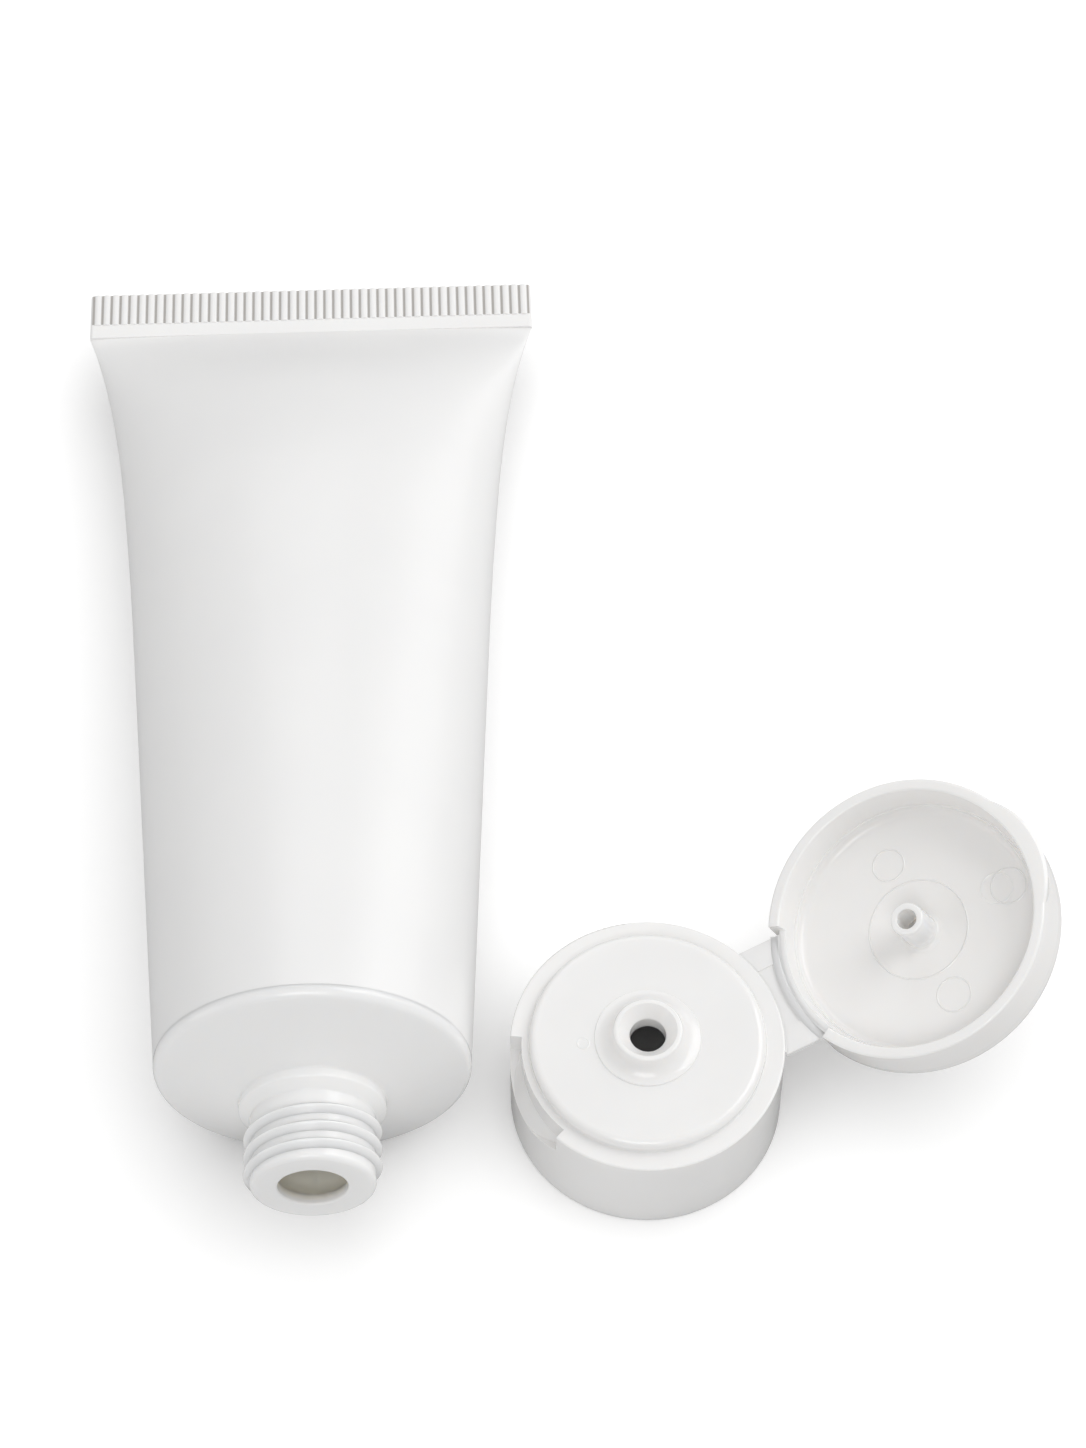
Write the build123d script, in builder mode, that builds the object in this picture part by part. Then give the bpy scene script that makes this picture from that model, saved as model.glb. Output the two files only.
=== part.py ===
from build123d import *

import os
from math import cos, pi, radians, sin, sqrt

# Squeeze tube: an extruded sleeve, round at the shoulder and pressed flat at the seal
tube_d = 40.0
sleeve_wall = 0.5
sleeve_len = 117.6
seal_t = 1.0
seal_land = 2.2
seal_rib_len = 5.3
seal_rib_pitch = 1.25
seal_rib_r = 0.72
seal_corner_r = 0.4
# Share of the widening that grows evenly, and the power of the last flare into the seal
spread_even = 0.62
spread_power = 8
pinch_power = 14
stations = (0.0, 0.08, 0.2, 0.35, 0.5, 0.65, 0.78, 0.88, 0.94, 0.98, 1.0)
hollow_end = 0.985

# Moulded head: shoulder cone, collar, neck and mouth, measured from the sleeve's round end
skirt_len = 3.0
skirt_fit = 0.03
shoulder_h = 5.5
shoulder_wall = 1.4
shoulder_edge_r = 1.3
collar_d = 18.5
collar_h = 1.2
collar_bevel_h = 1.2
neck_d = 15.8
neck_len = 11.9
neck_bore_d = 12.4
mouth_d = 8.74
mouth_plate_t = 1.5
mouth_edge_r = 0.7

# Flip-top cap: the lid's rim stands out a little over the skirt all round
lid_rim_d = 36.8
lid_overhang = 0.9
cap_d = lid_rim_d - 2 * lid_overhang

# Cap base: skirt, screw socket and raised deck with the nozzle
cap_wall = 1.4
ledge_h = 15.6
ledge_w = 2.45
ledge_edge_r = 0.25
deck_d = cap_d - 2 * ledge_w
deck_rise = 1.7
deck_edge_r = 1.0
deck_t = 1.3
ledge_t = 1.4
socket_bore_d = 17.9
socket_wall = 1.25
socket_foot = 4.6
stiffener_count = 8
stiffener_t = 0.8
stiffener_foot = 6.5
nozzle_foot_d = 13.6
nozzle_top_d = 8.65
nozzle_rise = 2.4
nozzle_step_h = 0.2
nozzle_step_w = 0.1
nozzle_lip_w = 0.6
nozzle_edge_r = 0.28
funnel_depth = 1.6
pin_clearance = 0.15
recess_half_angle = 26.0
recess_foot = 9.3
recess_end_h = 3.6
recess_corner_r = 1.0
recess_knee = 11.8
recess_depth = 1.5

# Living hinge: a bow-tie web that folds along a line on each side
hinge_azimuth = 20.5
hinge_half_angle = 27.5
hinge_gap = 0.15
# Depth of each fold line below the face where lid and base meet
base_fold_drop = 0.5
lid_fold_drop = 1.8
web_waist = base_fold_drop + lid_fold_drop
web_half_angle = 26.0
strap_t = 0.6
web_rib_w = 1.05
web_sink = 0.2
web_centre_w = 8.7
open_angle = 155.0

# Lid: a cup with a sealing pin and a thumb lip
lid_flare = 0.3
lid_wide_d = lid_rim_d + 2 * lid_flare
lid_wide_at = 5.2
lid_h = 7.8
lid_crown_r = 1.5
lid_rim_w = 1.4
lid_step_depth = 4.2
lid_step_w = 0.2
lid_draft = 0.65
lid_floor_depth = 5.6
lid_floor_r = 1.0
dish_d = 13.2
dish_foot_d = 5.8
dish_depth = 1.0
pin_d = 4.3
pin_foot_d = 4.5
pin_drop = 0.8
pin_bore_d = 2.6
pin_bore_depth = 4.6
lip_half_angle = 33.0
lip_reach = 1.15
lip_edge_w = 0.4
lip_edge_h = 0.45
lip_h = 4.3
orifice_d = pin_d + 2 * pin_clearance

# How the pieces lie: the tube on its side, the unscrewed cap standing beside its shoulder
tube_x = -31.99
tube_y = -53.53
tube_tilt = 3.7
cap_x = 10.31
cap_y = -49.83

up = Vector(0, 0, 1)


def radial_plane(centre, out, axis_dir, turn=0.0):
    """Plane through a turned body's axis: local X runs outward and local Y along the axis."""
    side = axis_dir.cross(out)
    x_dir = out * cos(radians(turn)) + side * sin(radians(turn))
    return Plane(origin=centre, x_dir=x_dir, z_dir=x_dir.cross(axis_dir))


def round_corners(sketch, corners):
    """Round the corner nearest to each (x, y) of a profile by its radius."""
    for x, y, radius in corners:
        fillet(sketch.vertices().sort_by_distance((x, y, 0))[0], radius)


def ellipse_perimeter(a, b):
    return pi * (3 * (a + b) - sqrt((3 * a + b) * (a + 3 * b)))


def half_width(t):
    """Half the sleeve's width at the fraction t of its length."""
    seal_half = pi * (tube_d - sleeve_wall) / 4
    spread = spread_even * t + (1 - spread_even) * t ** spread_power
    return tube_d / 2 + (seal_half - tube_d / 2) * spread


def half_height(t):
    """Half the sleeve's height at t: the wall keeps its girth until the seal pinches it."""
    low, high = 0.0, tube_d / 2
    while high - low > 1e-6:
        middle = (low + high) / 2
        if ellipse_perimeter(half_width(t), middle) < pi * tube_d:
            low = middle
        else:
            high = middle
    return low * (1 - t ** pinch_power) + seal_t / 2 * t ** pinch_power


# The tube's axis runs from the round end towards the seal, and dips by the angle it rests at
seal_dir = Vector(0, cos(radians(tube_tilt)), -sin(radians(tube_tilt)))
mouth_dir = seal_dir * -1
samples = [i / 200 for i in range(201)]
tube_z = max(
    half_height(t) * cos(radians(tube_tilt)) + t * sleeve_len * sin(radians(tube_tilt))
    for t in samples
)
tube_centre = Vector(tube_x, tube_y, tube_z)
tube_plane = Plane(origin=tube_centre, x_dir=(1, 0, 0), z_dir=seal_dir)
head_plane = radial_plane(tube_centre, Vector(1, 0, 0), mouth_dir)
tube_axis = Axis(tube_centre, mouth_dir)

# The cap stands upright, with its hinge at hinge_azimuth
cap_centre = Vector(cap_x, cap_y, 0)
hinge_out = Vector(cos(radians(hinge_azimuth)), sin(radians(hinge_azimuth)), 0)
cap_axis = Axis(cap_centre, up)
cap_plane = Plane(origin=cap_centre, x_dir=hinge_out, z_dir=up)
cap_radial = radial_plane(cap_centre, hinge_out, up)

# The lid's slope above flat open is shared evenly by the two folds of the web
lid_slope = 180 - open_angle
web_slope = lid_slope / 2
fold_r = cap_d / 2 + hinge_gap
web_half_w = fold_r * sin(radians(web_half_angle))
base_fold = cap_centre + hinge_out * fold_r + up * (ledge_h - base_fold_drop)
web_out = hinge_out * cos(radians(web_slope)) + up * sin(radians(web_slope))
web_up = up * cos(radians(web_slope)) - hinge_out * sin(radians(web_slope))
lid_fold = base_fold + web_out * web_waist
lid_out = hinge_out * cos(radians(lid_slope)) + up * sin(radians(lid_slope))
lid_up = up * cos(radians(lid_slope)) - hinge_out * sin(radians(lid_slope))
lid_centre = lid_fold + lid_out * fold_r + lid_up * lid_fold_drop
lid_axis = Axis(lid_centre, lid_up)
lid_radial = radial_plane(lid_centre, lid_out, lid_up)


def sleeve_sections(fractions, inset):
    """Ellipses along the sleeve, each drawn inside the outer wall by inset."""
    sections = []
    for t in fractions:
        kept = min(max(t, 0.0), 1.0)
        with BuildSketch(tube_plane.offset(t * sleeve_len)) as section:
            Ellipse(half_width(kept) - inset, half_height(kept) - inset)
        sections.append(section.sketch)
    return sections


def build_sleeve():
    seal_w = 2 * half_width(1.0)
    rib_count = int((seal_w - 2 * seal_rib_r) / seal_rib_pitch) + 1
    inner = [-0.01] + [t for t in stations if t < hollow_end] + [hollow_end]
    with BuildPart() as tube_sleeve:
        loft(sleeve_sections(stations, 0.0))
        loft(sleeve_sections(inner, sleeve_wall), mode=Mode.SUBTRACT)
        with BuildSketch(tube_plane.offset(sleeve_len)):
            RectangleRounded(seal_w, seal_t, seal_corner_r)
        extrude(amount=seal_land + seal_rib_len)
        with BuildSketch(tube_plane.offset(sleeve_len + seal_land)):
            with GridLocations(seal_rib_pitch, 0, rib_count, 1):
                Circle(seal_rib_r)
        extrude(amount=seal_rib_len)
    return tube_sleeve


def build_head():
    r = tube_d / 2
    skirt_r = half_height(skirt_len / sleeve_len) - sleeve_wall - skirt_fit
    collar_top = shoulder_h + collar_h
    neck_foot = collar_top + collar_bevel_h
    mouth = shoulder_h + neck_len
    inner_neck = mouth - mouth_plate_t
    inner_foot = shoulder_h - shoulder_wall
    inner_r = skirt_r - shoulder_wall
    with BuildPart() as tube_head:
        with BuildSketch(head_plane) as profile:
            with BuildLine():
                Polyline(
                    (skirt_r, -skirt_len),
                    (skirt_r, 0),
                    (r, 0),
                    (r, shoulder_edge_r),
                    (collar_d / 2, shoulder_h),
                    (collar_d / 2, collar_top),
                    (neck_d / 2, neck_foot),
                    (neck_d / 2, mouth),
                    (mouth_d / 2, mouth),
                    (mouth_d / 2, inner_neck),
                    (neck_bore_d / 2, inner_neck),
                    (neck_bore_d / 2, inner_foot),
                    (inner_r, 0),
                    (inner_r, -skirt_len),
                    close=True,
                )
            make_face()
            round_corners(
                profile,
                (
                    (r, shoulder_edge_r, shoulder_edge_r),
                    (collar_d / 2, shoulder_h, 0.3),
                    (collar_d / 2, collar_top, 0.3),
                    (neck_d / 2, neck_foot, 0.3),
                    (neck_d / 2, mouth, mouth_edge_r),
                    (mouth_d / 2, mouth, 0.3),
                ),
            )
        revolve(axis=tube_axis)
    return tube_head


def cap_profile():
    """Half section of the cap base: skirt, ledge, deck, nozzle, orifice and screw socket."""
    r = cap_d / 2
    deck_r = deck_d / 2
    deck_top = ledge_h + deck_rise
    under = deck_top - deck_t
    ring_top = deck_top + nozzle_rise
    hole_top = ring_top - funnel_depth
    cone_foot = (nozzle_foot_d / 2 - nozzle_step_w, deck_top + nozzle_step_h)
    ledge_under = ledge_h - ledge_t
    socket_r = socket_bore_d / 2
    socket_out = socket_r + socket_wall
    step_r = deck_r - deck_t
    with BuildSketch(cap_radial) as profile:
        with BuildLine():
            Polyline(
                (r, 0),
                (r, ledge_h),
                (deck_r, ledge_h),
                (deck_r, deck_top),
                (nozzle_foot_d / 2, deck_top),
                cone_foot,
            )
            ThreePointArc(
                cone_foot,
                ((nozzle_foot_d + nozzle_top_d) / 4 - 0.45, (deck_top + ring_top) / 2 - 0.35),
                (nozzle_top_d / 2, ring_top),
            )
            Polyline(
                (nozzle_top_d / 2, ring_top),
                (nozzle_top_d / 2 - nozzle_lip_w, ring_top),
                (orifice_d / 2, hole_top),
                (orifice_d / 2, under),
                (socket_r, under),
                (socket_r, socket_foot),
                (socket_out, socket_foot),
                (socket_out, under),
                (step_r, under),
                (step_r, ledge_under),
                (r - cap_wall, ledge_under),
                (r - cap_wall, 0),
                (r, 0),
            )
        make_face()
        round_corners(
            profile,
            (
                (r, ledge_h, ledge_edge_r),
                (deck_r, ledge_h, ledge_edge_r),
                (deck_r, deck_top, deck_edge_r),
                (nozzle_top_d / 2, ring_top, nozzle_edge_r),
                (orifice_d / 2, hole_top, nozzle_edge_r),
                (r, 0, ledge_edge_r),
            ),
        )
    return profile.sketch


def build_recess():
    """The scoop that the thumb reaches into: lowest in the middle and rounded at its ends."""
    r = cap_d / 2
    half_w = r * sin(radians(recess_half_angle))
    end_z = ledge_h - recess_end_h
    top = ledge_h + 1
    front_plane = Plane(origin=cap_centre, x_dir=hinge_out.cross(up), z_dir=hinge_out * -1)
    with BuildPart() as recess:
        with BuildSketch(radial_plane(cap_centre, hinge_out, up, 180 - recess_half_angle)):
            with BuildLine():
                Polyline(
                    (r - recess_depth, top),
                    (r - recess_depth, recess_knee),
                    (r + 0.05, recess_foot),
                    (r + 1, recess_foot),
                    (r + 1, top),
                    close=True,
                )
            make_face()
        revolve(axis=cap_axis, revolution_arc=2 * recess_half_angle)
        with BuildSketch(front_plane) as front:
            with BuildLine():
                Polyline((-half_w, end_z), (-half_w, top), (half_w, top), (half_w, end_z))
                ThreePointArc((half_w, end_z), (0, recess_foot), (-half_w, end_z))
            make_face()
            round_corners(
                front,
                (
                    (half_w, end_z, recess_corner_r),
                    (-half_w, end_z, recess_corner_r),
                ),
            )
        extrude(amount=r + 2, mode=Mode.INTERSECT)
    return recess


def build_cap_base():
    r = cap_d / 2
    recess_r = r - recess_depth
    backing_r = recess_r - cap_wall
    socket_mid = (socket_bore_d / 2 + socket_wall + r - cap_wall) / 2
    stiffener_len = r - cap_wall - socket_bore_d / 2 - socket_wall
    recess_start = 180 - recess_half_angle
    with BuildPart() as cap_base:
        revolve(cap_profile(), axis=cap_axis)
        # Stiffening ribs between the screw socket and the skirt
        with BuildSketch(cap_plane.offset(stiffener_foot)):
            with PolarLocations(socket_mid, stiffener_count, start_angle=180 / stiffener_count):
                Rectangle(stiffener_len + cap_wall, stiffener_t)
        extrude(amount=ledge_h - ledge_t - stiffener_foot)
        # Wall behind the thumb recess, then the recess itself, opposite the hinge
        with BuildSketch(radial_plane(cap_centre, hinge_out, up, recess_start - cap_wall * 2)):
            with BuildLine():
                Polyline(
                    (backing_r, ledge_h - ledge_t / 2),
                    (r - cap_wall / 2, ledge_h - ledge_t / 2),
                    (r - cap_wall / 2, recess_foot - cap_wall),
                    (backing_r, recess_knee - cap_wall),
                    close=True,
                )
            make_face()
        revolve(axis=cap_axis, revolution_arc=2 * (recess_half_angle + cap_wall * 2))
        add(build_recess().part, mode=Mode.SUBTRACT)
    return cap_base


def build_hinge_web():
    web_plane = Plane(origin=base_fold, x_dir=web_out, z_dir=web_up)
    with BuildPart() as hinge_web:
        with BuildSketch(web_plane):
            with Locations((web_waist / 2, 0)):
                Rectangle(fold_r, 2 * web_half_w)
            with Locations((-fold_r, 0), (web_waist + fold_r, 0)):
                Circle(fold_r, mode=Mode.SUBTRACT)
        extrude(amount=-strap_t)
        # The thin panel lies lower than the straps and than the rib beside the lid
        with BuildSketch(web_plane):
            with Locations((web_waist / 2, 0)):
                Rectangle(fold_r, web_centre_w)
            with Locations((web_waist + fold_r, 0)):
                Circle(fold_r + web_rib_w, mode=Mode.SUBTRACT)
        extrude(amount=-web_sink, mode=Mode.SUBTRACT)
    return hinge_web


def lid_profile():
    """Half section of the lid, with its rim at height 0 and its crown below."""
    rim_r = lid_rim_d / 2
    inner_r = rim_r - lid_rim_w
    step_r = inner_r - lid_draft
    floor_r = step_r - 2 * lid_step_w
    dish_floor = -lid_floor_depth - dish_depth
    with BuildSketch(lid_radial) as profile:
        with BuildLine():
            Polyline(
                (0, -lid_h),
                (lid_wide_d / 2, -lid_h),
                (lid_wide_d / 2, -lid_wide_at),
                (rim_r, 0),
                (inner_r, 0),
                (step_r, -lid_step_depth),
                (step_r - lid_step_w, -lid_step_depth),
                (floor_r, -lid_floor_depth),
                (dish_d / 2, -lid_floor_depth),
                (dish_foot_d / 2, dish_floor),
                (pin_foot_d / 2, dish_floor),
                (pin_d / 2, -pin_drop),
                (pin_bore_d / 2, -pin_drop),
                (pin_bore_d / 2, -pin_drop - pin_bore_depth),
                (0, -pin_drop - pin_bore_depth),
                close=True,
            )
        make_face()
        round_corners(
            profile,
            (
                (lid_wide_d / 2, -lid_h, lid_crown_r),
                (rim_r, 0, 0.3),
                (inner_r, 0, 0.3),
                (floor_r, -lid_floor_depth, lid_floor_r),
                (dish_d / 2, -lid_floor_depth, 0.5),
                (pin_foot_d / 2, dish_floor, 0.3),
                (pin_d / 2, -pin_drop, 0.25),
                (pin_bore_d / 2, -pin_drop, 0.15),
            ),
        )
    return profile.sketch


def lip_outlines():
    """Crescents at growing depth: each bulges out by its own reach, and its back is in the wall."""
    wall_mid = (lid_rim_d - lid_rim_w) / 2
    end_x = wall_mid * cos(radians(lip_half_angle))
    end_y = wall_mid * sin(radians(lip_half_angle))
    outlines = []
    for depth, reach in ((0, lip_reach - lip_edge_w), (lip_edge_h, lip_reach), (lip_h, 0)):
        plane = Plane(origin=lid_centre - lid_up * depth, x_dir=lid_out, z_dir=lid_up)
        with BuildSketch(plane) as outline:
            with BuildLine():
                ThreePointArc((end_x, -end_y), (lid_rim_d / 2 + reach, 0), (end_x, end_y))
                ThreePointArc((end_x, end_y), (wall_mid, 0), (end_x, -end_y))
            make_face()
        outlines.append(outline.sketch)
    return outlines


def build_lid():
    face_r = fold_r - hinge_gap
    beyond = lid_wide_d / 2 + 1
    with BuildPart() as cap_lid:
        revolve(lid_profile(), axis=lid_axis)
        # Thumb lip on the rim, on the side away from the hinge
        loft(lip_outlines(), ruled=True)
        # Notch at the hinge: the rim is cut down to the fold line, and the wall is set back
        with BuildSketch(radial_plane(lid_centre, lid_out, lid_up, 180 - hinge_half_angle)):
            with BuildLine():
                Polyline(
                    (face_r, -lid_h - 1),
                    (beyond, -lid_h - 1),
                    (beyond, 1),
                    (face_r - lid_rim_w, 1),
                    (face_r - lid_rim_w, -lid_fold_drop),
                    (face_r, -lid_fold_drop),
                    close=True,
                )
            make_face()
        revolve(axis=lid_axis, revolution_arc=2 * hinge_half_angle, mode=Mode.SUBTRACT)
    return cap_lid


os.makedirs("parts", exist_ok=True)

tube_sleeve = build_sleeve()
tube_sleeve.part.label = "tube_sleeve"
export_step(tube_sleeve.part, "parts/tube_sleeve.step")

tube_head = build_head()
tube_head.part.label = "tube_head"
export_step(tube_head.part, "parts/tube_head.step")

cap_base = build_cap_base()
cap_base.part.label = "cap_base"
export_step(cap_base.part, "parts/cap_base.step")

hinge_web = build_hinge_web()
hinge_web.part.label = "hinge_web"
export_step(hinge_web.part, "parts/hinge_web.step")

cap_lid = build_lid()
cap_lid.part.label = "cap_lid"
export_step(cap_lid.part, "parts/cap_lid.step")
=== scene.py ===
"""Studio scene of a white squeeze tube lying beside its open flip-top cap."""

import logging
import math
from dataclasses import dataclass, field
from enum import Enum
from typing import Any, Dict, List, Sequence, Tuple

import bmesh
import bpy
from mathutils import Euler, Matrix, Vector


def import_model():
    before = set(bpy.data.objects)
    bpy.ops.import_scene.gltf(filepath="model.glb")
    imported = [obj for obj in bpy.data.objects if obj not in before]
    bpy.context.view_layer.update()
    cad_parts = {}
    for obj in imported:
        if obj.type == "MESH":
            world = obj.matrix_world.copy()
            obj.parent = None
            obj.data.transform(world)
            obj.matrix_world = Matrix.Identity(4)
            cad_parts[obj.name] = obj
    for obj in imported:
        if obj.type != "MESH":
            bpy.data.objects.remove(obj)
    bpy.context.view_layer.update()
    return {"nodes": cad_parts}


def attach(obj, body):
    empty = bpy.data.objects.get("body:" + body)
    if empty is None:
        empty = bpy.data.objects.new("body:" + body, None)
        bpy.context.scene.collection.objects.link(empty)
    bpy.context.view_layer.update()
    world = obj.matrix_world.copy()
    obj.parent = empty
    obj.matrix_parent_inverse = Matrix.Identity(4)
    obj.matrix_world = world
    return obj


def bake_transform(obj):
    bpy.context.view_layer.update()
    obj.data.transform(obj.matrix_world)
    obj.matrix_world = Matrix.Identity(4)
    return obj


logging.basicConfig(level=logging.INFO, format="%(name)s: %(message)s")
log = logging.getLogger("squeeze_tube")

MM = 0.001

Colour = Tuple[float, float, float]
Point = Tuple[float, float, float]


class Body(Enum):
    """The bodies of the frame that the pieces ride on."""

    ROOT = "tube_and_cap_base"
    WEB = "web"
    LID = "lid"


class Slot(Enum):
    """The record's finish slots."""

    SLEEVE = "sleeve_film"
    HEAD = "head_plastic"
    CAP = "cap_plastic"


class Side(Enum):
    """Which way a thread ridge stands out from its wall."""

    OUTSIDE = 1
    INSIDE = -1


class Lit(Enum):
    """Which side of a flag a softbox lights."""

    OBJECT = "object"
    FLOOR = "floor"


def metres(point: Sequence[float]) -> Vector:
    """Turn a point in millimetres into a vector in metres."""
    return Vector(point) * MM


def eased(share: float) -> float:
    """Hold a share between 0 and 1 and ease it at both ends."""
    held = max(0.0, min(1.0, share))
    return held * held * (3 - 2 * held)


# Node graphs


NOISE_LOW = 0.3
NOISE_HIGH = 0.7


class Graph:
    """A small builder for shader node trees."""

    def __init__(self, tree: bpy.types.NodeTree) -> None:
        """Clear the tree and keep it for building.

        Args:
            tree: The node tree of a material or world.
        """
        self.tree = tree
        self.tree.nodes.clear()

    def node(
        self, kind: str, inputs: Dict[Any, Any] | None = None, **settings: Any
    ) -> bpy.types.Node:
        """Add a node, set its properties and fill or link its inputs.

        Args:
            kind: The node's type name.
            inputs: Values or output sockets by input name or index.
            **settings: Properties of the node itself.

        Returns:
            The new node.
        """
        made = self.tree.nodes.new(kind)
        for name, value in settings.items():
            setattr(made, name, value)
        for key, value in (inputs or {}).items():
            if isinstance(value, bpy.types.NodeSocket):
                self.tree.links.new(value, made.inputs[key])
            else:
                made.inputs[key].default_value = value
        return made

    def maths(self, operation: str, *values: Any, clamp: bool = False) -> bpy.types.NodeSocket:
        """Add a Math node and return its result.

        Args:
            operation: The Math node's operation.
            *values: Numbers or sockets, in order.
            clamp: Whether the result is held between 0 and 1.

        Returns:
            The output socket.
        """
        inputs = dict(enumerate(values))
        made = self.node("ShaderNodeMath", inputs, operation=operation, use_clamp=clamp)
        return made.outputs[0]

    def noise(
        self, vector: bpy.types.NodeSocket, scale: float, detail: float = 2.0
    ) -> bpy.types.NodeSocket:
        """Add a Noise Texture on the given coordinates and return its value."""
        made = self.node("ShaderNodeTexNoise", {"Vector": vector, "Scale": scale, "Detail": detail})
        return made.outputs["Fac"]

    def span(self, value: bpy.types.NodeSocket, low: float, high: float) -> bpy.types.NodeSocket:
        """Stretch a noise value, most of which lies from NOISE_LOW to NOISE_HIGH, over a range.

        Args:
            value: The noise value.
            low: What the lower end becomes.
            high: What the upper end becomes.

        Returns:
            The output socket.
        """
        made = self.node(
            "ShaderNodeMapRange",
            {
                "Value": value,
                "From Min": NOISE_LOW,
                "From Max": NOISE_HIGH,
                "To Min": low,
                "To Max": high,
            },
        )
        return made.outputs["Result"]

    def tint(self, factor: bpy.types.NodeSocket, first: Any, second: Any) -> bpy.types.NodeSocket:
        """Mix two colours by a factor.

        Args:
            factor: The share of the second colour.
            first: A colour or a colour socket.
            second: A colour or a colour socket.

        Returns:
            The mixed colour.
        """
        made = self.node("ShaderNodeMix", data_type="RGBA")
        self.tree.links.new(factor, made.inputs["Factor"])
        for socket, value in zip((s for s in made.inputs if s.type == "RGBA"), (first, second)):
            if isinstance(value, bpy.types.NodeSocket):
                self.tree.links.new(value, socket)
            else:
                socket.default_value = (*value, 1.0)
        return next(s for s in made.outputs if s.type == "RGBA")

    def seen_directly(self, path: bpy.types.Node) -> bpy.types.NodeSocket:
        """1 on what the camera sees, straight or through a clear piece, and 0 elsewhere."""
        straight, through = path.outputs["Is Camera Ray"], path.outputs["Is Transmission Ray"]
        return self.maths("MAXIMUM", straight, through)

    def object_space(self, origin: Vector, turn: Euler) -> bpy.types.NodeSocket:
        """Object coordinates measured from an origin and along turned axes.

        Args:
            origin: Where the pattern's own origin lies.
            turn: How the pattern's own axes are turned.

        Returns:
            The turned coordinates.
        """
        where = self.node("ShaderNodeTexCoord").outputs["Object"]
        made = self.node(
            "ShaderNodeMapping",
            {"Vector": where, "Location": origin, "Rotation": turn},
            vector_type="TEXTURE",
        )
        return made.outputs["Vector"]


# Places


@dataclass(frozen=True)
class Place:
    """A sub-assembly's own frame: an origin in millimetres and two directions."""

    origin: Point
    out: Point
    axis: Point

    def matrix(self) -> Matrix:
        """The frame as a matrix whose X is out, Z is the axis, in metres."""
        x, z = Vector(self.out).normalized(), Vector(self.axis).normalized()
        y = z.cross(x)
        turn = Matrix((x, y, z)).transposed().to_4x4()
        return Matrix.Translation(metres(self.origin)) @ turn

    def coordinates(self, graph: Graph) -> bpy.types.NodeSocket:
        """Object coordinates measured in this frame, in metres."""
        return graph.object_space(metres(self.origin), self.matrix().to_euler())

    def split(self, graph: Graph) -> Tuple[bpy.types.NodeSocket, bpy.types.NodeSocket]:
        """Split the coordinates into a vector across the axis and a height along it.

        Args:
            graph: The material's graph.

        Returns:
            The flat vector and the height.
        """
        parts = graph.node("ShaderNodeSeparateXYZ", {"Vector": self.coordinates(graph)})
        across = {"X": parts.outputs["X"], "Y": parts.outputs["Y"], "Z": 0.0}
        flat = graph.node("ShaderNodeCombineXYZ", across).outputs[0]
        return flat, parts.outputs["Z"]


def sloped(azimuth: float, slope: float) -> Tuple[Point, Point]:
    """The outward and upward directions of a plate that slopes up away from the cap.

    Args:
        azimuth: Direction of the hinge seen from above, in degrees.
        slope: The plate's slope, in degrees.

    Returns:
        The outward direction and the plate's normal.
    """
    a, s = math.radians(azimuth), math.radians(slope)
    flat = Vector((math.cos(a), math.sin(a), 0))
    up = Vector((0, 0, 1))
    outward = flat * math.cos(s) + up * math.sin(s)
    normal = up * math.cos(s) - flat * math.sin(s)
    return tuple(outward), tuple(normal)


HINGE_AZIMUTH = 20.5
LID_SLOPE = 25.0
HINGE_OUT, _ = sloped(HINGE_AZIMUTH, 0.0)
LID_OUT, LID_UP = sloped(HINGE_AZIMUTH, LID_SLOPE)
WEB_OUT, WEB_UP = sloped(HINGE_AZIMUTH, LID_SLOPE / 2)

TUBE_TILT = math.radians(3.7)
MOUTH_WAY = (0, -math.cos(TUBE_TILT), math.sin(TUBE_TILT))
TUBE = Place((-31.99, -53.53, 20.0776), (1, 0, 0), MOUTH_WAY)
CAP = Place((10.31, -49.83, 0.0), HINGE_OUT, (0, 0, 1))
LID = Place((43.2163, -37.5268, 24.6884), LID_OUT, LID_UP)

FOLD_R = 17.65
LID_FOLD = (28.9455, -42.8625, 15.5978)
WEB = Place(tuple(Vector(LID_FOLD) + Vector(WEB_OUT) * FOLD_R), tuple(-Vector(WEB_OUT)), WEB_UP)


# Finishes


GLOW_RADII = (1.0, 0.93, 0.85)


@dataclass(frozen=True)
class RingMark:
    """A faint round line on a plate, in millimetres: a mould mark or the dish's edge, drawn as a
    bump with a painted highlight.
    """

    out: float
    side: float
    radius: float
    depth: float = 1.0
    line: float = 0.14


@dataclass(frozen=True)
class MarkedPlate:
    """The plate that carries mould marks and an edge line, each with a painted highlight: where it
    is and the heights it spans.
    """

    place: Place
    low: float
    high: float
    marks: Tuple[RingMark, ...]

    def height(self, graph: Graph) -> bpy.types.NodeSocket:
        """Build the marks as one height value, 0 off the marks; it drives their bump and their
        painted highlight.

        Args:
            graph: The material's graph.

        Returns:
            The height, from 0 to 1.
        """
        flat, level = self.place.split(graph)
        total: Any = 0.0
        for mark in self.marks:
            centre = Vector((mark.out, mark.side, 0)) * MM
            away = graph.node("ShaderNodeVectorMath", {0: flat, 1: centre}, operation="DISTANCE")
            offset = graph.maths("SUBTRACT", away.outputs["Value"], mark.radius * MM)
            near = graph.maths("DIVIDE", graph.maths("ABSOLUTE", offset), mark.line * MM)
            line = graph.maths("SUBTRACT", 1.0, near, clamp=True)
            total = graph.maths("ADD", total, graph.maths("MULTIPLY", line, mark.depth))
        above = graph.maths("GREATER_THAN", level, self.low * MM)
        below = graph.maths("LESS_THAN", level, self.high * MM)
        return graph.maths("MULTIPLY", total, graph.maths("MULTIPLY", above, below))


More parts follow.
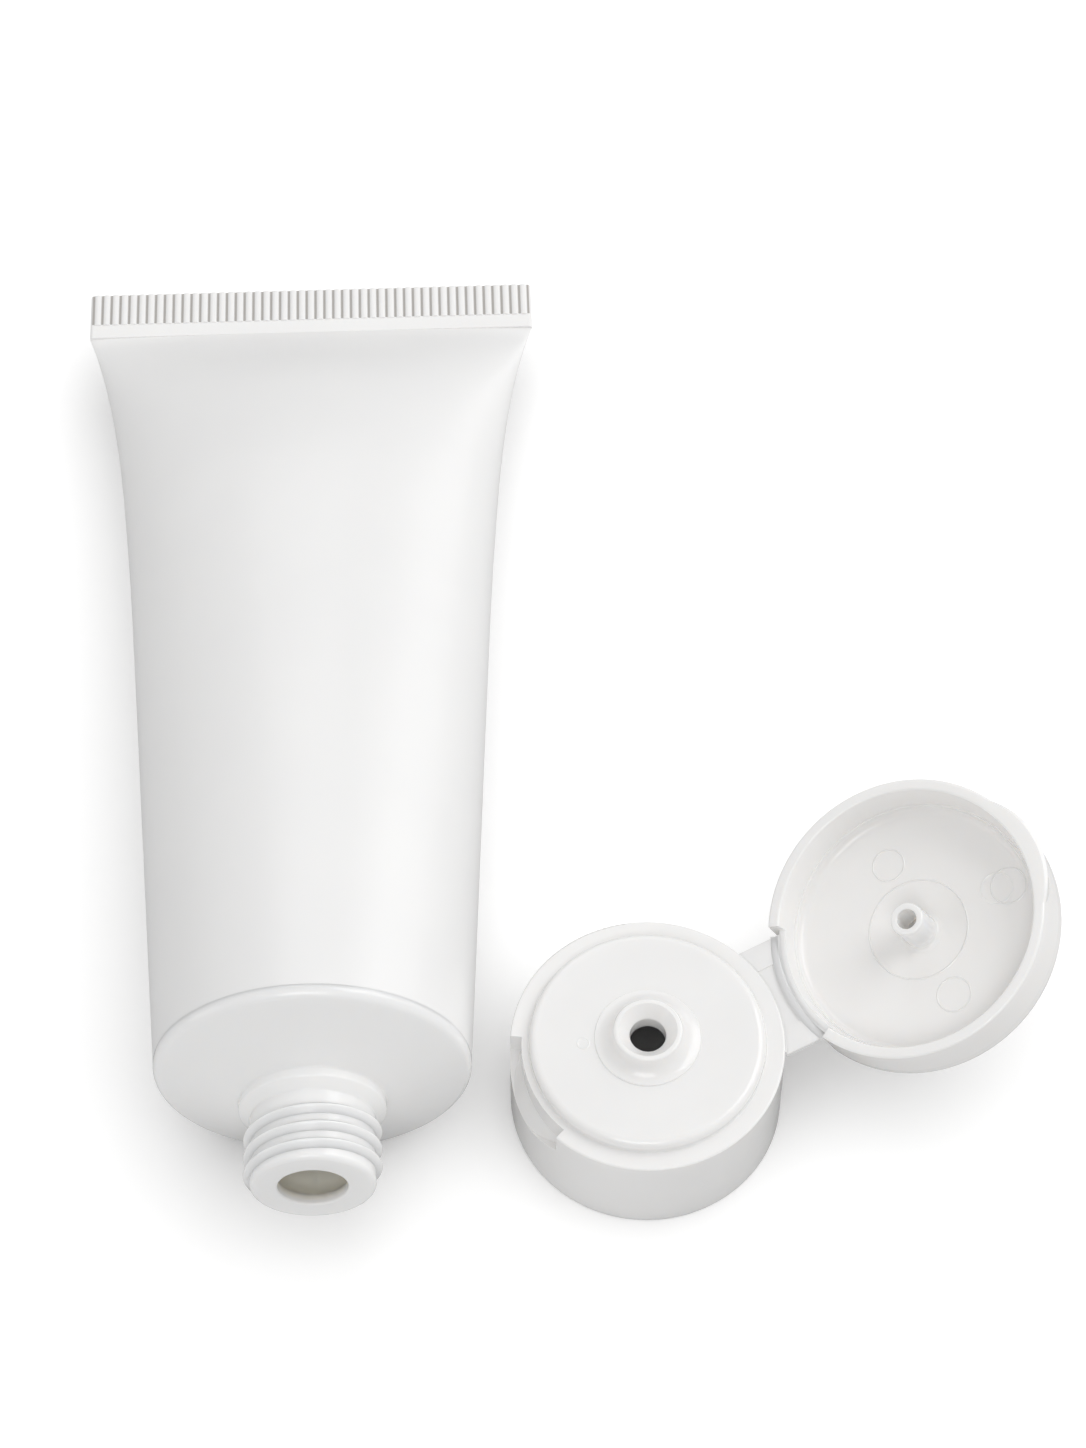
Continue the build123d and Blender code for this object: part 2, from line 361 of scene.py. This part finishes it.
@dataclass(frozen=True)
class BoreWithPaintedGlow:
    """A bore whose wall gets painted warm light: a creamier tint for the light that only reaches it
    through the plastic.

    Its radius, the heights it spans, how deep light sinks into its wall and the length
    over which it fades at its mouth are in millimetres.
    """

    place: Place
    radius: float
    low: float
    high: float
    depth: float
    edge: float = 0.6

    def share(self, graph: Graph) -> bpy.types.NodeSocket:
        """Build the bore as one value, 1 on its wall and 0 elsewhere.

        Args:
            graph: The material's graph.

        Returns:
            The value, with a soft edge at the mouth.
        """
        flat, level = self.place.split(graph)
        away = graph.node("ShaderNodeVectorMath", {0: flat}, operation="LENGTH").outputs["Value"]
        inside = graph.maths("LESS_THAN", away, self.radius * MM)
        above = graph.maths("GREATER_THAN", level, self.low * MM)
        under = graph.maths("SUBTRACT", self.high * MM, level)
        below = graph.maths("DIVIDE", under, self.edge * MM, clamp=True)
        return graph.maths("MULTIPLY", graph.maths("MULTIPLY", inside, above), below)


@dataclass(frozen=True)
class MouldedPlastic:
    """Glossy injection-moulded plastic with a soft skin, faint mould marks with a painted
    highlight, and painted warm light in its bore.

    Depths are in millimetres, and the four scales are those of its noise patterns.
    """

    name: str
    slot: Slot
    pale: Colour
    warm: Colour
    gloss: Tuple[float, float]
    skin_depth: float
    glow: float
    glow_depth: float
    # Painted warm light: the creamier tint of the bore's wall.
    painted_glow_colour: Colour
    bore: BoreWithPaintedGlow
    plates: Tuple[MarkedPlate, ...] = ()
    # Painted highlight on the marks' lines: its colour and share.
    mark_highlight_colour: Colour = (0.96, 0.955, 0.95)
    mark_highlight_share: float = 0.6
    mark_depth: float = 0.09
    skin_share: float = 0.12
    cloud_scale: float = 90.0
    skin_scale: float = 2600.0
    wave_scale: float = 260.0
    gloss_scale: float = 420.0
    ior: float = 1.49

    def material(self) -> bpy.types.Material:
        """Build the material.

        Returns:
            The new material.
        """
        made = bpy.data.materials.new(self.name)
        made.use_nodes = True
        graph = Graph(made.node_tree)
        where = graph.node("ShaderNodeTexCoord").outputs["Object"]
        cloud = graph.noise(where, self.cloud_scale, detail=3.0)
        skin = graph.noise(where, self.skin_scale)
        wave = graph.noise(where, self.wave_scale, detail=1.0)
        colour = graph.tint(graph.span(cloud, 0.0, 1.0), self.pale, self.warm)
        # Painted warm light: the bore's wall is tinted creamier; the same mask deepens its
        # subsurface glow.
        inside = self.bore.share(graph)
        colour = graph.tint(inside, colour, self.painted_glow_colour)
        rough = graph.span(graph.noise(where, self.gloss_scale), *self.gloss)
        height = graph.maths("ADD", graph.maths("MULTIPLY", skin, self.skin_share), wave)
        bump = graph.node(
            "ShaderNodeBump", {"Strength": 1.0, "Distance": self.skin_depth * MM, "Height": height}
        ).outputs["Normal"]
        for plate in self.plates:
            marks = plate.height(graph)
            # Painted highlight: each mark's line is tinted lighter, beside its real bump.
            painted_highlight = graph.maths("MULTIPLY", marks, self.mark_highlight_share)
            colour = graph.tint(painted_highlight, colour, self.mark_highlight_colour)
            relief = {"Distance": self.mark_depth * MM, "Height": marks, "Normal": bump}
            bump = graph.node("ShaderNodeBump", {"Strength": 1.0, **relief}).outputs["Normal"]
        weight = graph.maths("MULTIPLY_ADD", inside, 1.0 - self.glow, self.glow)
        deeper = (self.bore.depth - self.glow_depth) * MM
        reach = graph.maths("MULTIPLY_ADD", inside, deeper, self.glow_depth * MM)
        shader = graph.node(
            "ShaderNodeBsdfPrincipled",
            {
                "Base Color": colour,
                "Roughness": rough,
                "IOR": self.ior,
                "Subsurface Weight": weight,
                "Subsurface Radius": GLOW_RADII,
                "Subsurface Scale": reach,
                "Normal": bump,
            },
        )
        graph.node("ShaderNodeOutputMaterial", {"Surface": shader.outputs[0]})
        return made


@dataclass(frozen=True)
class SealGrooveShade:
    """Painted shade in each groove between the ribs of the sleeve's welded seal.

    The shade fades in between two values of a cosine that is 1 on a rib and -1 in a groove.
    """

    pitch: float = 1.25
    start: float = -119.9
    # Painted shade: the dark colour at the bottom of each groove.
    colour: Colour = (0.42, 0.4, 0.38)
    fades_at: float = -0.35
    full_at: float = -0.95

    def share(self, graph: Graph, along: bpy.types.NodeSocket) -> bpy.types.NodeSocket:
        """Build the painted shade as one value, 1 at the bottom of each groove and 0 on the ribs.

        Args:
            graph: The material's graph.
            along: Coordinates in the tube's own frame.

        Returns:
            The value.
        """
        parts = graph.node("ShaderNodeSeparateXYZ", {"Vector": along})
        turns = graph.maths("MULTIPLY", parts.outputs["X"], 2 * math.pi / (self.pitch * MM))
        groove = graph.node(
            "ShaderNodeMapRange",
            {
                "Value": graph.maths("COSINE", turns),
                "From Min": self.fades_at,
                "From Max": self.full_at,
                "To Min": 0.0,
                "To Max": 1.0,
            },
        ).outputs["Result"]
        inside = graph.maths("LESS_THAN", parts.outputs["Z"], self.start * MM)
        return graph.maths("MULTIPLY", groove, inside)


@dataclass(frozen=True)
class SatinFilm:
    """Satin extruded film: fine lines run along the tube under a soft pearly sheen.

    Depths are in millimetres, the three scales are those of its noise patterns, and
    the stretch is what is left of a pattern's scale along the tube.
    """

    name: str
    slot: Slot
    pale: Colour
    warm: Colour
    gloss: Tuple[float, float]
    grain_depth: float
    sheen: float
    glow: float
    glow_depth: float = 1.0
    coat: float = 0.25
    coat_roughness: float = 0.18
    line_share: float = 0.25
    line_scale: float = 2400.0
    band_scale: float = 300.0
    cloud_scale: float = 60.0
    stretch: float = 0.03
    sheen_roughness: float = 0.5
    ior: float = 1.5
    # Painted shade between the seal's ribs.
    groove_shade: SealGrooveShade = SealGrooveShade()

    def material(self) -> bpy.types.Material:
        """Build the material.

        Returns:
            The new material.
        """
        made = bpy.data.materials.new(self.name)
        made.use_nodes = True
        graph = Graph(made.node_tree)
        along = TUBE.coordinates(graph)
        drawn = graph.node(
            "ShaderNodeMapping",
            {"Vector": along, "Scale": (1.0, 1.0, self.stretch)},
            vector_type="POINT",
        ).outputs["Vector"]
        lines = graph.noise(drawn, self.line_scale, detail=3.0)
        bands = graph.noise(drawn, self.band_scale)
        cloud = graph.noise(along, self.cloud_scale)
        colour = graph.tint(graph.span(cloud, 0.0, 1.0), self.pale, self.warm)
        # Painted shade: each groove between the seal's ribs is darkened.
        colour = graph.tint(self.groove_shade.share(graph, along), colour, self.groove_shade.colour)
        rough = graph.span(bands, *self.gloss)
        height = graph.maths("ADD", graph.maths("MULTIPLY", lines, self.line_share), bands)
        bump = graph.node(
            "ShaderNodeBump", {"Strength": 1.0, "Distance": self.grain_depth * MM, "Height": height}
        ).outputs["Normal"]
        shader = graph.node(
            "ShaderNodeBsdfPrincipled",
            {
                "Base Color": colour,
                "Roughness": rough,
                "IOR": self.ior,
                "Coat Weight": self.coat,
                "Coat Roughness": self.coat_roughness,
                "Sheen Weight": self.sheen,
                "Sheen Roughness": self.sheen_roughness,
                "Subsurface Weight": self.glow,
                "Subsurface Radius": GLOW_RADII,
                "Subsurface Scale": self.glow_depth * MM,
                "Normal": bump,
            },
        )
        graph.node("ShaderNodeOutputMaterial", {"Surface": shader.outputs[0]})
        return made


# Meshes


MERGE_WITHIN = 0.0005


def finished(
    bm: bmesh.types.BMesh, name: str, material: bpy.types.Material, crease: float
) -> bpy.types.Object:
    """Turn a bmesh into a smooth-shaded object with creases above an angle.

    Args:
        bm: The shape, freed here.
        name: The object's name.
        material: Its material.
        crease: Edges sharper than this many degrees stay crisp.

    Returns:
        The linked object.
    """
    bmesh.ops.remove_doubles(bm, verts=bm.verts, dist=MERGE_WITHIN * MM)
    bmesh.ops.recalc_face_normals(bm, faces=bm.faces)
    for face in bm.faces:
        face.smooth = True
    for edge in bm.edges:
        if len(edge.link_faces) == 2:
            edge.smooth = edge.calc_face_angle(0.0) < math.radians(crease)
    mesh = bpy.data.meshes.new(name)
    bm.to_mesh(mesh)
    bm.free()
    mesh.materials.append(material)
    made = bpy.data.objects.new(name, mesh)
    bpy.context.scene.collection.objects.link(made)
    return made


def swept(
    bm: bmesh.types.BMesh,
    edges: List[bmesh.types.BMEdge],
    angle: float,
    steps: int,
    lift: float = 0.0,
) -> List[bmesh.types.BMVert]:
    """Spin edges about Z and leave the sweep open.

    Args:
        bm: The shape.
        edges: The profile's edges.
        angle: The whole turn in degrees.
        steps: How many steps the turn takes.
        lift: The rise in each step, in metres.

    Returns:
        The vertices of the last step.
    """
    turned = bmesh.ops.spin(
        bm,
        geom=edges,
        cent=(0, 0, 0),
        axis=(0, 0, 1),
        dvec=(0, 0, lift),
        angle=math.radians(angle),
        steps=steps,
        use_merge=False,
    )
    return [v for v in turned["geom_last"] if isinstance(v, bmesh.types.BMVert)]


@dataclass
class ScrewThread:
    """A right-hand thread ridge wound on a wall, in millimetres and degrees."""

    name: str
    place: Place
    side: Side
    wall_r: float
    rise: float
    pitch: float
    start_at: float
    start_turn: float
    end_turn: float
    fade: float = 45.0
    steps_per_turn: int = 96
    crease: float = 50.0
    profile: Tuple[Tuple[float, float], ...] = (
        (-0.66, -0.22),
        (-0.55, 0.0),
        (-0.36, 0.12),
        (-0.16, 0.72),
        (-0.08, 0.93),
        (0.04, 1.0),
        (0.18, 0.95),
        (0.30, 0.82),
        (0.78, 0.14),
        (0.93, 0.0),
        (1.02, -0.22),
    )

    def height_at(self, turn: float) -> float:
        """The share of its full height that the ridge has at a turn angle."""
        near = min(turn - self.start_turn, self.end_turn - turn)
        return eased(near / self.fade)

    def build(self, material: bpy.types.Material) -> bpy.types.Object:
        """Wind the ridge's profile round the wall and close its ends.

        Args:
            material: The wall's own finish.

        Returns:
            The ridge.
        """
        bm = bmesh.new()
        ring: List[bmesh.types.BMVert] = []
        for along, out in self.profile:
            radius = self.wall_r + self.side.value * out * self.rise
            ring.append(bm.verts.new(Vector((radius, 0, self.start_at + along)) * MM))
        edges = [bm.edges.new((a, b)) for a, b in zip(ring, ring[1:] + ring[:1])]
        bm.faces.new(ring)
        sweep = self.end_turn - self.start_turn
        steps = round(sweep / 360 * self.steps_per_turn)
        last = swept(bm, edges, sweep, steps, self.pitch * MM * sweep / 360 / steps)
        self.fade_ends(bm)
        bmesh.ops.contextual_create(bm, geom=last)
        bm.transform(self.place.matrix() @ Matrix.Rotation(math.radians(self.start_turn), 4, "Z"))
        return finished(bm, self.name, material, self.crease)

    def fade_ends(self, bm: bmesh.types.BMesh) -> None:
        """Let the ridge sink into the wall near both of its ends.

        Args:
            bm: The wound ridge, before it is placed.
        """
        rise_per_turn = self.pitch * MM / 360
        for vert in bm.verts:
            radius = math.hypot(vert.co.x, vert.co.y)
            angle = math.degrees(math.atan2(vert.co.y, vert.co.x)) % 360
            middle = (vert.co.z - self.start_at * MM) / rise_per_turn
            turn = angle + 360 * round((middle - angle) / 360)
            share = self.height_at(self.start_turn + turn)
            out = radius / MM - self.wall_r
            if out * self.side.value > 0:
                faded = (self.wall_r + out * share) * MM
                vert.co.x *= faded / radius
                vert.co.y *= faded / radius


@dataclass
class FoldRib:
    """The slanted bead of the web that lies along the lid's fold line."""

    name: str = "web_fold_rib"
    place: Place = WEB
    inner_r: float = 17.67
    outer_r: float = 18.78
    rise: float = 0.15
    end_rise: float = 0.15
    half_angle: float = 25.2
    fade: float = 9.0
    steps: int = 48
    crease: float = 35.0
    profile: Tuple[Tuple[float, float], ...] = (
        (0.0, -0.3),
        (0.0, 0.3),
        (0.08, 0.75),
        (0.22, 1.0),
        (0.4, 0.98),
        (0.7, 0.62),
        (0.92, 0.15),
        (1.0, -0.3),
    )

    def build(self, material: bpy.types.Material) -> bpy.types.Object:
        """Sweep the bead's profile along the fold and let it thin out at its ends.

        Args:
            material: The cap's finish.

        Returns:
            The bead.
        """
        bm = bmesh.new()
        width = self.outer_r - self.inner_r
        ring = [
            bm.verts.new(Vector((self.inner_r + width * along, 0, self.rise * up)) * MM)
            for along, up in self.profile
        ]
        edges = [bm.edges.new((a, b)) for a, b in zip(ring, ring[1:] + ring[:1])]
        bm.faces.new(ring)
        start = Matrix.Rotation(math.radians(-self.half_angle), 3, "Z")
        bmesh.ops.rotate(bm, verts=ring, cent=(0, 0, 0), matrix=start)
        last = swept(bm, edges, 2 * self.half_angle, self.steps)
        bmesh.ops.contextual_create(bm, geom=last)
        for vert in bm.verts:
            away = self.half_angle - abs(math.degrees(math.atan2(vert.co.y, vert.co.x)))
            if vert.co.z > 0:
                vert.co.z *= self.end_rise + (1 - self.end_rise) * eased(away / self.fade)
        bm.transform(self.place.matrix())
        return finished(bm, self.name, material, self.crease)


@dataclass
class FoldFilm:
    """The thin skin that joins two parts of the living hinge along one fold line."""

    name: str
    place: Place
    level: float
    inner_r: float
    outer_r: float
    half_angle: float
    bodies: Tuple[Body, Body]
    thickness: float = 0.22
    strips: int = 9
    bands: int = 5
    steps: int = 3
    crease: float = 40.0

    def build(self, material: bpy.types.Material) -> List[bpy.types.Object]:
        """Build the skin as short strips that each cover their own piece of the fold.

        Args:
            material: The cap's finish.

        Returns:
            The strips.
        """
        made = []
        step = 2 * self.half_angle / self.strips
        for index in range(self.strips):
            start = -self.half_angle + index * step
            made.append(self.strip(index, start, step, material))
        return made

    def strip(
        self, index: int, start: float, step: float, material: bpy.types.Material
    ) -> bpy.types.Object:
        """Build one strip across its piece of the fold.

        Args:
            index: The strip's number along the fold.
            start: The angle it starts at, in degrees.
            step: The angle it covers.
            material: The cap's finish.

        Returns:
            The strip.
        """
        bm = bmesh.new()
        width = self.outer_r - self.inner_r
        ring = [
            bm.verts.new(Vector((self.inner_r + width * band / self.bands, 0, self.level)) * MM)
            for band in range(self.bands + 1)
        ]
        edges = [bm.edges.new((a, b)) for a, b in zip(ring, ring[1:])]
        turn = Matrix.Rotation(math.radians(start), 3, "Z")
        bmesh.ops.rotate(bm, verts=ring, cent=(0, 0, 0), matrix=turn)
        swept(bm, edges, step, self.steps)
        bmesh.ops.recalc_face_normals(bm, faces=bm.faces)
        if next(iter(bm.faces)).normal.z < 0:
            bmesh.ops.reverse_faces(bm, faces=bm.faces)
        bmesh.ops.solidify(bm, geom=bm.faces[:], thickness=self.thickness * MM)
        matrix = self.place.matrix()
        bm.transform(matrix)
        made = finished(bm, f"{self.name}_{index + 1}", material, self.crease)
        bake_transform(made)
        return made


@dataclass(frozen=True)
class WeldBead:
    """The thin rounded bead where the sleeve's film is welded to the head."""

    name: str = "weld_bead"
    place: Place = TUBE
    ring_r: float = 19.62
    level: float = -0.02
    bead_r: float = 0.3
    steps: int = 160
    segments: int = 10
    crease: float = 60.0

    def build(self, material: bpy.types.Material) -> bpy.types.Object:
        """Turn the bead's round section about the tube's axis.

        Args:
            material: The head's finish.

        Returns:
            The bead.
        """
        bm = bmesh.new()
        turn = Matrix.Rotation(math.radians(90), 3, "X")
        circle = bmesh.ops.create_circle(
            bm, cap_ends=False, radius=self.bead_r * MM, segments=self.segments
        )
        section = circle["verts"]
        bmesh.ops.rotate(bm, verts=section, cent=(0, 0, 0), matrix=turn)
        bmesh.ops.translate(bm, verts=section, vec=metres((self.ring_r, 0, self.level)))
        bmesh.ops.spin(
            bm,
            geom=bm.edges[:],
            cent=(0, 0, 0),
            axis=(0, 0, 1),
            angle=math.radians(360),
            steps=self.steps,
            use_merge=True,
        )
        bm.transform(self.place.matrix())
        return finished(bm, self.name, material, self.crease)


# Sub-assemblies


@dataclass
class SqueezeTube:
    """The tube: its sleeve, its moulded head, its weld and the thread on the neck."""

    nodes: Dict[str, bpy.types.Object]
    film: SatinFilm = SatinFilm(
        name="sleeve_film",
        slot=Slot.SLEEVE,
        pale=(0.885, 0.88, 0.875),
        warm=(0.905, 0.9, 0.892),
        gloss=(0.3, 0.38),
        grain_depth=0.004,
        sheen=0.05,
        glow=0.15,
    )
    moulded: MouldedPlastic = MouldedPlastic(
        name="head_plastic",
        slot=Slot.HEAD,
        pale=(0.915, 0.908, 0.898),
        warm=(0.93, 0.923, 0.913),
        gloss=(0.12, 0.18),
        skin_depth=0.006,
        glow=0.5,
        glow_depth=2.5,
        # Painted warm light inside the mouth.
        painted_glow_colour=(0.97, 0.9, 0.78),
        bore=BoreWithPaintedGlow(TUBE, radius=6.4, low=-4.0, high=16.9, depth=5.0),
    )
    thread: ScrewThread = field(
        default_factory=lambda: ScrewThread(
            name="neck_thread",
            place=TUBE,
            side=Side.OUTSIDE,
            wall_r=7.9,
            rise=0.75,
            pitch=2.42,
            start_at=9.32,
            start_turn=-60.0,
            end_turn=945.0,
        )
    )
    bead: WeldBead = WeldBead()

    def build(self) -> None:
        """Dress the tube's solids, wind the thread on its neck and lay the weld's bead."""
        dress(self.nodes["tube_sleeve"], self.film.material())
        head = self.moulded.material()
        dress(self.nodes["tube_head"], head)
        mount(self.thread.build(head), Body.ROOT)
        mount(self.bead.build(head), Body.ROOT)


@dataclass
class FlipTopCap:
    """The cap: its base with the screw socket, its living hinge and its lid."""

    nodes: Dict[str, bpy.types.Object]
    plastic: MouldedPlastic = MouldedPlastic(
        name="cap_plastic",
        slot=Slot.CAP,
        pale=(0.89, 0.882, 0.872),
        warm=(0.91, 0.902, 0.892),
        gloss=(0.1, 0.16),
        skin_depth=0.005,
        glow=0.4,
        glow_depth=1.5,
        # Painted warm light inside the pin.
        painted_glow_colour=(0.965, 0.95, 0.925),
        bore=BoreWithPaintedGlow(LID, radius=2.25, low=-5.4, high=-0.9, depth=2.5),
        plates=(
            MarkedPlate(
                LID,
                low=-6.0,
                high=-4.4,
                marks=(
                    # The dish's edge: a ring with a painted highlight, not a pin's mark.
                    RingMark(0, 0, 6.6),
                    RingMark(0.31, 9.83, 2.11),
                    RingMark(0.27, -10.2, 2.24),
                    RingMark(12.89, -1.1, 2.37),
                    RingMark(11.36, -0.6, 2.11, 0.6),
                ),
            ),
            MarkedPlate(CAP, low=16.9, high=17.6, marks=(RingMark(-7.84, 2.41, 0.75, 0.6),)),
        ),
    )
    socket_thread: ScrewThread = field(
        default_factory=lambda: ScrewThread(
            name="socket_thread",
            place=CAP,
            side=Side.INSIDE,
            wall_r=8.95,
            rise=0.62,
            pitch=2.42,
            start_at=6.4,
            start_turn=0.0,
            end_turn=810.0,
        )
    )
    base_fold: FoldFilm = field(
        default_factory=lambda: FoldFilm(
            name="base_fold_film",
            place=CAP,
            level=15.07,
            inner_r=17.45,
            outer_r=17.71,
            half_angle=25.4,
            bodies=(Body.ROOT, Body.WEB),
        )
    )
    lid_fold: FoldFilm = field(
        default_factory=lambda: FoldFilm(
            name="lid_fold_film",
            place=Place(LID.origin, tuple(-Vector(LID_OUT)), LID_UP),
            level=-1.79,
            inner_r=17.38,
            outer_r=17.74,
            half_angle=25.4,
            bodies=(Body.LID, Body.WEB),
        )
    )
    rib: FoldRib = field(default_factory=FoldRib)

    def build(self) -> None:
        """Dress the cap's solids, wind its socket thread and join its fold lines."""
        plastic = self.plastic.material()
        for name in ("cap_base", "hinge_web", "cap_lid"):
            dress(self.nodes[name], plastic)
        mount(self.socket_thread.build(plastic), Body.ROOT)
        for fold in (self.base_fold, self.lid_fold):
            for strip in fold.build(plastic):
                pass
            log.info("%s joins its fold in %d strips", fold.name, fold.strips)
        mount(self.rib.build(plastic), Body.WEB)


def dress(node: bpy.types.Object, material: bpy.types.Material) -> None:
    """Give a solid of the frame its finish.

    Args:
        node: The solid's object.
        material: The finish.
    """
    node.data.materials.clear()
    node.data.materials.append(material)
    log.info("%s wears %s", node.name, material.name)


def mount(piece: bpy.types.Object, body: Body) -> None:
    """Let a new piece ride on a body.

    Args:
        piece: The new piece.
        body: The body it moves with.
    """
    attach(piece, body.value)
    log.info("%s rides on %s with %d faces", piece.name, body.value, len(piece.data.polygons))


# Studio


@dataclass(frozen=True)
class Softbox:
    """A square softbox lamp: where it stands, how large and how bright it is."""

    name: str
    position: Point
    size: Tuple[float, float]
    power: float
    lit: Lit
    aim: Point = (0.0, 0.0, 0.02)

    def build(self, floor: bpy.types.Object) -> bpy.types.Object:
        """Build the lamp, aimed at the object and out of the camera's sight.

        Args:
            floor: The floor, which a flag keeps from this light or in it.

        Returns:
            The lamp.
        """
        data = bpy.data.lights.new(self.name, "AREA")
        data.shape = "RECTANGLE"
        data.size, data.size_y = self.size
        data.energy = self.power
        lamp = bpy.data.objects.new(self.name, data)
        bpy.context.scene.collection.objects.link(lamp)
        lamp.location = self.position
        beam = Vector(self.aim) - Vector(self.position)
        lamp.rotation_euler = beam.to_track_quat("-Z", "Y").to_euler()
        lamp.visible_camera = False
        flagged = bpy.data.collections.new(f"{self.name}_flag")
        flagged.objects.link(floor)
        state = "EXCLUDE" if self.lit is Lit.OBJECT else "INCLUDE"
        flagged.collection_objects[0].light_linking.link_state = state
        lamp.light_linking.receiver_collection = flagged
        return lamp


@dataclass
class Studio:
    """A pale sweep, soft lamps and the camera at the photograph's angle."""

    camera_at: Point = (-0.0092732, -0.2921511, 0.5133032)
    camera_look: Point = (0.0135455, 0.5030241, -0.8641662)
    camera_roll: float = -0.303
    lens: float = 108.17
    sensor_width: float = 36.0
    clip: Tuple[float, float] = (0.01, 50.0)
    floor_radius: float = 4.0
    floor_segments: int = 96
    floor_colour: Colour = (0.72, 0.72, 0.72)
    floor_seen: Colour = (1.07, 1.07, 1.07)
    floor_mirrored: Colour = (0.45, 0.45, 0.45)
    ambient: float = 0.47
    sky_in_gloss: float = 0.1
    lamps: Tuple[Softbox, ...] = (
        Softbox("key_softbox", (0.52, 0.2, 0.74), (0.6, 0.6), 3.1, Lit.OBJECT),
        Softbox("side_softbox", (0.8, 0.48, 0.33), (0.9, 0.5), 1.2, Lit.OBJECT),
        Softbox("front_softbox", (-0.08, -0.6, 0.75), (0.45, 0.45), 2.0, Lit.OBJECT),
        Softbox("fill_softbox", (-0.85, -0.28, 0.22), (0.6, 0.4), 0.8, Lit.OBJECT),
        Softbox("back_softbox", (-0.1, 0.65, 0.7), (0.5, 0.5), 0.6, Lit.OBJECT),
        Softbox("floor_softbox", (0.2, 0.05, 1.1), (2.0, 2.0), 16.4, Lit.FLOOR),
    )

    def build(self) -> None:
        """Build the camera, the lamps, the world and the floor."""
        bpy.context.scene.view_settings.view_transform = "Standard"
        self.build_camera()
        self.build_world()
        floor = self.build_floor()
        for lamp in self.lamps:
            lamp.build(floor)
            log.info("%s lights %s", lamp.name, lamp.lit.value)

    def build_camera(self) -> None:
        """Stand the camera where the photograph was taken from."""
        data = bpy.data.cameras.new("camera")
        data.sensor_width = self.sensor_width
        data.lens = self.lens
        data.clip_start, data.clip_end = self.clip
        camera = bpy.data.objects.new("camera", data)
        bpy.context.scene.collection.objects.link(camera)
        forward = Vector(self.camera_look).normalized()
        right = forward.cross(Vector((0, 0, 1))).normalized()
        above = right.cross(forward)
        turn = Matrix((right, above, -forward)).transposed().to_4x4()
        turn = turn @ Matrix.Rotation(math.radians(self.camera_roll), 4, "Z")
        camera.matrix_world = Matrix.Translation(Vector(self.camera_at)) @ turn
        bpy.context.scene.camera = camera

    def build_world(self) -> None:
        """Light the scene with a soft even sky that looks white to the camera."""
        world = bpy.data.worlds.new("studio_world")
        world.use_nodes = True
        bpy.context.scene.world = world
        graph = Graph(world.node_tree)
        path = graph.node("ShaderNodeLightPath")
        seen = graph.seen_directly(path)
        mirrored = graph.maths("MULTIPLY", path.outputs["Is Glossy Ray"], self.sky_in_gloss)
        seen = graph.maths("MAXIMUM", seen, mirrored)
        strength = graph.node(
            "ShaderNodeMix", {"Factor": seen, "A": self.ambient, "B": 1.0}, data_type="FLOAT"
        ).outputs["Result"]
        white = (1.0, 1.0, 1.0, 1.0)
        sky = graph.node("ShaderNodeBackground", {"Color": white, "Strength": strength})
        graph.node("ShaderNodeOutputWorld", {"Surface": sky.outputs[0]})

    def build_floor(self) -> bpy.types.Object:
        """Lay a wide round floor that keeps the object's shadow and looks near white.

        Returns:
            The floor.
        """
        material = bpy.data.materials.new("studio_floor")
        material.use_nodes = True
        graph = Graph(material.node_tree)
        path = graph.node("ShaderNodeLightPath")
        seen = graph.seen_directly(path)
        colour = graph.tint(path.outputs["Is Glossy Ray"], self.floor_colour, self.floor_mirrored)
        colour = graph.tint(seen, colour, self.floor_seen)
        paper = graph.node("ShaderNodeBsdfDiffuse", {"Color": colour})
        graph.node("ShaderNodeOutputMaterial", {"Surface": paper.outputs[0]})
        bm = bmesh.new()
        bmesh.ops.create_circle(
            bm, cap_ends=True, radius=self.floor_radius, segments=self.floor_segments
        )
        floor = finished(bm, "studio_floor", material, 40.0)
        if floor.data.polygons[0].normal.z < 0:
            floor.data.flip_normals()
        return floor


def main() -> None:
    """Load the frame, build the studio, the tube and the cap."""
    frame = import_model()
    Studio().build()
    SqueezeTube(frame["nodes"]).build()
    FlipTopCap(frame["nodes"]).build()


if __name__ == "__main__":
    main()
